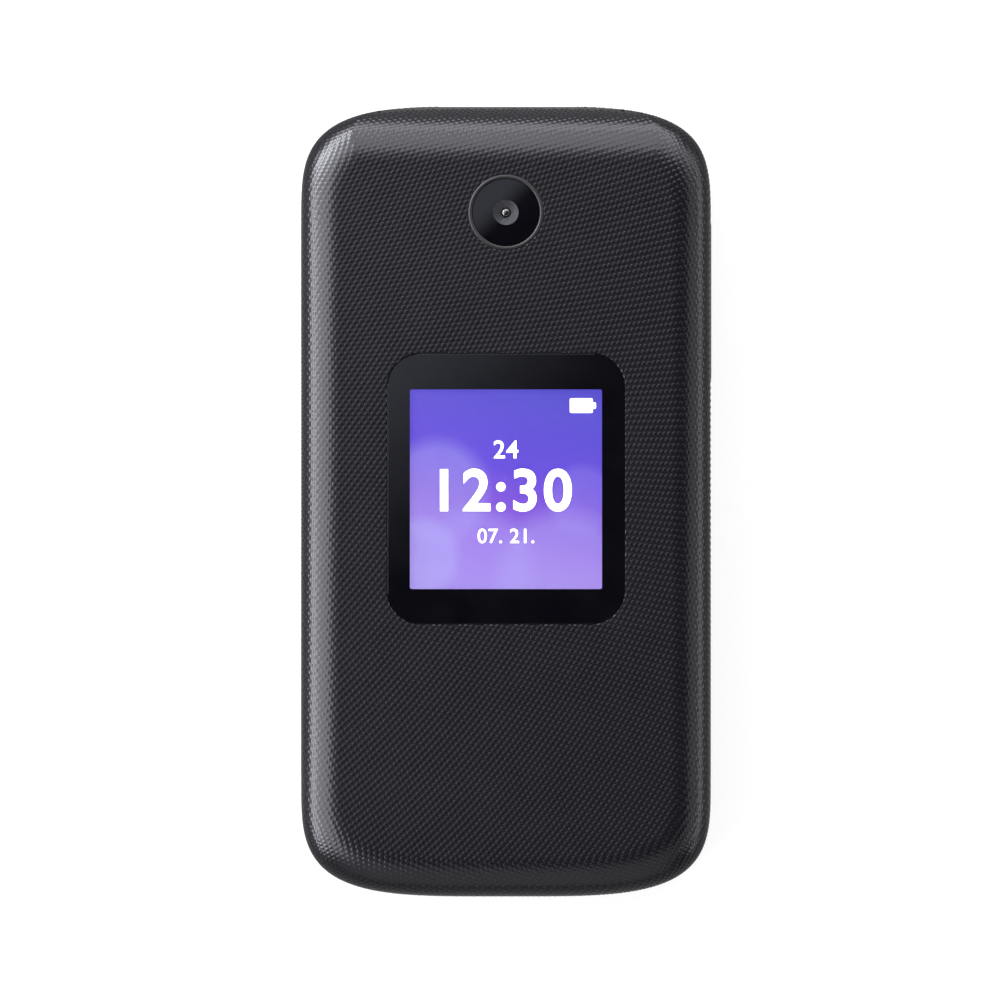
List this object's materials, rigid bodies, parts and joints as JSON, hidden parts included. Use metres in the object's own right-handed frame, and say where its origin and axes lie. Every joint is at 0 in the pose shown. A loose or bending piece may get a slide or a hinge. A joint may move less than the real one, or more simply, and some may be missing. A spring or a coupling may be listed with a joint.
{
  "type": "flip phone",
  "caption": "Clamshell mobile phone with a hinged lid, an outer display and camera on the lid, a main display inside, a sprung keypad and a removable battery",
  "frame": {"origin": "middle of the battery cover on the flat back, which is what the closed phone rests on", "axes": "+Y along the length to the hinge end, +Z out of the lid's outer face, +X to the right when looking at that face with the hinge up"},
  "size_m": [0.0548, 0.1053, 0.0189],
  "materials": {
    "textured_plastic": "fine textured",
    "black_plastic": "satin",
    "key_plastic": "satin",
    "window_glass": "gloss",
    "display": "gloss",
    "bright_metal": "brushed",
    "dark_metal": "satin",
    "chassis_metal": "satin",
    "board": "solder mask",
    "gold_contact": "plated",
    "soft_rubber": "soft",
    "battery_wrap": "satin film",
    "film": "film"
  },
  "bodies": {
    "base": {"front_housing": "black_plastic", "rear_housing": "textured_plastic", "battery_contacts": "gold_contact", "sim_holder": "bright_metal", "main_board": "board", "dome_sheet": "film", "keypad_mat": "soft_rubber", "side_switches": "bright_metal", "loudspeaker": "black_plastic", "antenna": "film", "microphone": "bright_metal", "headset_jack": "black_plastic", "charging_port": "bright_metal", "base_screws": "bright_metal", "hinge_shaft": "bright_metal", "display_flex": "film"},
    "lid": {"lid_cover": "textured_plastic", "outer_window": "window_glass", "outer_display": "display", "camera_ring": "dark_metal", "camera_glass": "window_glass", "camera_module": "black_plastic", "camera_lens": "window_glass", "lid_chassis": "chassis_metal", "main_display": "display", "inner_window": "window_glass", "lid_inner_cover": "black_plastic", "earpiece": "bright_metal", "earpiece_mesh": "bright_metal", "lid_board": "board", "lid_screws": "bright_metal", "screw_plugs": "soft_rubber", "lid_bumpers": "soft_rubber", "hinge_can": "bright_metal", "hinge_cam": "bright_metal", "hinge_spring": "bright_metal", "hinge_bush": "bright_metal"},
    "battery_cover_body": {"battery_cover": "textured_plastic"},
    "battery_body": {"battery": "battery_wrap"},
    "nav_pad_body": {"nav_pad": "soft_rubber"},
    "nav_ring_body": {"nav_ring": "dark_metal"},
    "volume_rocker_body": {"volume_rocker": "black_plastic"},
    "key_1_body": {"key_1": "key_plastic"},
    "key_2_body": {"key_2": "key_plastic"},
    "key_3_body": {"key_3": "key_plastic"},
    "key_4_body": {"key_4": "key_plastic"},
    "key_5_body": {"key_5": "key_plastic"},
    "key_6_body": {"key_6": "key_plastic"},
    "key_7_body": {"key_7": "key_plastic"},
    "key_8_body": {"key_8": "key_plastic"},
    "key_9_body": {"key_9": "key_plastic"},
    "key_star_body": {"key_star": "key_plastic"},
    "key_0_body": {"key_0": "key_plastic"},
    "key_hash_body": {"key_hash": "key_plastic"},
    "soft_key_left_body": {"soft_key_left": "key_plastic"},
    "soft_key_right_body": {"soft_key_right": "key_plastic"},
    "call_key_body": {"call_key": "key_plastic"},
    "end_key_body": {"end_key": "key_plastic"},
    "clear_key_body": {"clear_key": "key_plastic"},
    "ok_key_body": {"ok_key": "key_plastic"}
  },
  "joints": [
    {"name": "lid_hinge", "type": "hinge", "parent": "base", "child": "lid", "pos_m": [0, 0.0452, 0.0114], "axis": [-1, 0, 0], "range_deg": [0, 150], "deforming": ["display_flex"]},
    {"name": "battery_cover_lift", "type": "slide", "parent": "base", "child": "battery_cover_body", "axis": [0, 0, -1], "range_m": [0, 0.012]},
    {"name": "battery_lift", "type": "slide", "parent": "base", "child": "battery_body", "axis": [0, 0, -1], "range_m": [0, 0.008]},
    {"name": "nav_up_down", "type": "hinge", "parent": "base", "child": "nav_pad_body", "pos_m": [0, 0.022, 0.00805], "axis": [1, 0, 0], "range_deg": [-1, 1], "stiffness_Nm_per_rad": 0.02},
    {"name": "nav_left_right", "type": "hinge", "parent": "nav_pad_body", "child": "nav_ring_body", "pos_m": [0, 0.022, 0.00905], "axis": [0, 1, 0], "range_deg": [-1, 1], "stiffness_Nm_per_rad": 0.02},
    {"name": "volume_rock", "type": "hinge", "parent": "base", "child": "volume_rocker_body", "pos_m": [0.0247, 0.02665, 0.005], "axis": [0, 0, 1], "range_deg": [-1.2, 1.2], "stiffness_Nm_per_rad": 0.02},
    {"name": "key_1_press", "type": "slide", "parent": "base", "child": "key_1_body", "axis": [0, 0, -1], "range_m": [0, 0.0003], "stiffness_N_per_m": 400},
    {"name": "key_2_press", "type": "slide", "parent": "base", "child": "key_2_body", "axis": [0, 0, -1], "range_m": [0, 0.0003], "stiffness_N_per_m": 400},
    {"name": "key_3_press", "type": "slide", "parent": "base", "child": "key_3_body", "axis": [0, 0, -1], "range_m": [0, 0.0003], "stiffness_N_per_m": 400},
    {"name": "key_4_press", "type": "slide", "parent": "base", "child": "key_4_body", "axis": [0, 0, -1], "range_m": [0, 0.0003], "stiffness_N_per_m": 400},
    {"name": "key_5_press", "type": "slide", "parent": "base", "child": "key_5_body", "axis": [0, 0, -1], "range_m": [0, 0.0003], "stiffness_N_per_m": 400},
    {"name": "key_6_press", "type": "slide", "parent": "base", "child": "key_6_body", "axis": [0, 0, -1], "range_m": [0, 0.0003], "stiffness_N_per_m": 400},
    {"name": "key_7_press", "type": "slide", "parent": "base", "child": "key_7_body", "axis": [0, 0, -1], "range_m": [0, 0.0003], "stiffness_N_per_m": 400},
    {"name": "key_8_press", "type": "slide", "parent": "base", "child": "key_8_body", "axis": [0, 0, -1], "range_m": [0, 0.0003], "stiffness_N_per_m": 400},
    {"name": "key_9_press", "type": "slide", "parent": "base", "child": "key_9_body", "axis": [0, 0, -1], "range_m": [0, 0.0003], "stiffness_N_per_m": 400},
    {"name": "key_star_press", "type": "slide", "parent": "base", "child": "key_star_body", "axis": [0, 0, -1], "range_m": [0, 0.0003], "stiffness_N_per_m": 400},
    {"name": "key_0_press", "type": "slide", "parent": "base", "child": "key_0_body", "axis": [0, 0, -1], "range_m": [0, 0.0003], "stiffness_N_per_m": 400},
    {"name": "key_hash_press", "type": "slide", "parent": "base", "child": "key_hash_body", "axis": [0, 0, -1], "range_m": [0, 0.0003], "stiffness_N_per_m": 400},
    {"name": "soft_key_left_press", "type": "slide", "parent": "base", "child": "soft_key_left_body", "axis": [0, 0, -1], "range_m": [0, 0.0003], "stiffness_N_per_m": 400},
    {"name": "soft_key_right_press", "type": "slide", "parent": "base", "child": "soft_key_right_body", "axis": [0, 0, -1], "range_m": [0, 0.0003], "stiffness_N_per_m": 400},
    {"name": "call_key_press", "type": "slide", "parent": "base", "child": "call_key_body", "axis": [0, 0, -1], "range_m": [0, 0.0003], "stiffness_N_per_m": 400},
    {"name": "end_key_press", "type": "slide", "parent": "base", "child": "end_key_body", "axis": [0, 0, -1], "range_m": [0, 0.0003], "stiffness_N_per_m": 400},
    {"name": "clear_key_press", "type": "slide", "parent": "base", "child": "clear_key_body", "axis": [0, 0, -1], "range_m": [0, 0.0003], "stiffness_N_per_m": 400},
    {"name": "ok_key_press", "type": "slide", "parent": "base", "child": "ok_key_body", "axis": [0, 0, -1], "range_m": [0, 0.0003], "stiffness_N_per_m": 400}
  ],
  "couplings": [
    {"joint": "battery_cover_lift", "follows": "battery_lift", "ratio": 1.5}
  ]
}
